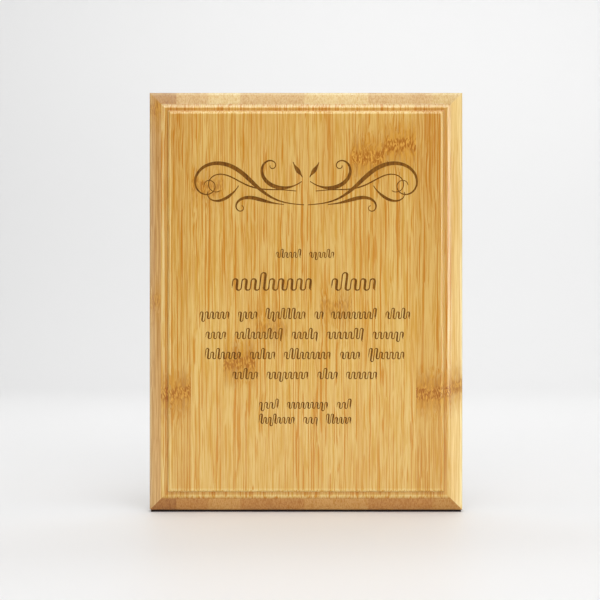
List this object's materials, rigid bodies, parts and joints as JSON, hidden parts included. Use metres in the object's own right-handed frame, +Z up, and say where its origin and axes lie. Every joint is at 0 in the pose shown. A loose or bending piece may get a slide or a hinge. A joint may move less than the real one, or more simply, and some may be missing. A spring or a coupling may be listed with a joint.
{
  "type": "award plaque",
  "caption": "Upright rectangular award plaque of laminated bamboo strips with a stepped, moulded edge on all sides and a flush steel keyhole hanger in the back.",
  "frame": {"origin": "middle of the base that the plaque stands on, half way between its front and back faces", "axes": "+Z up the plaque, +Y from its engraved front to its back, +X to the right as seen from the front"},
  "size_m": [0.2286, 0.02, 0.3048],
  "materials": {
    "face_bamboo": "satin clear lacquer over flat-pressed bamboo",
    "core_bamboo": "satin clear lacquer over carbonised and natural bamboo strips",
    "back_bamboo": "thin satin lacquer over bamboo",
    "hanger_steel": "zinc plated, stamped",
    "screw_steel": "zinc plated"
  },
  "bodies": {
    "root": {"face_strip_1": "face_bamboo", "face_strip_2": "face_bamboo", "face_strip_3": "face_bamboo", "face_strip_4": "face_bamboo", "face_strip_5": "face_bamboo", "face_strip_6": "face_bamboo", "face_strip_7": "face_bamboo", "face_strip_8": "face_bamboo", "face_strip_9": "face_bamboo", "core_front_strip_1": "core_bamboo", "core_front_strip_2": "core_bamboo", "core_front_strip_3": "core_bamboo", "core_front_strip_4": "core_bamboo", "core_front_strip_5": "core_bamboo", "core_front_strip_6": "core_bamboo", "core_front_strip_7": "core_bamboo", "core_front_strip_8": "core_bamboo", "core_front_strip_9": "core_bamboo", "core_front_strip_10": "core_bamboo", "core_rear_strip_1": "core_bamboo", "core_rear_strip_2": "core_bamboo", "core_rear_strip_3": "core_bamboo", "core_rear_strip_4": "core_bamboo", "core_rear_strip_5": "core_bamboo", "core_rear_strip_6": "core_bamboo", "core_rear_strip_7": "core_bamboo", "core_rear_strip_8": "core_bamboo", "core_rear_strip_9": "core_bamboo", "core_rear_strip_10": "core_bamboo", "core_rear_strip_11": "core_bamboo", "back_strip_1": "back_bamboo", "back_strip_2": "back_bamboo", "back_strip_3": "back_bamboo", "back_strip_4": "back_bamboo", "back_strip_5": "back_bamboo", "back_strip_6": "back_bamboo", "back_strip_7": "back_bamboo", "back_strip_8": "back_bamboo", "back_strip_9": "back_bamboo", "back_strip_10": "back_bamboo", "back_strip_11": "back_bamboo", "hanger_plate": "hanger_steel", "hanger_screws": "screw_steel"}
  },
  "joints": []
}
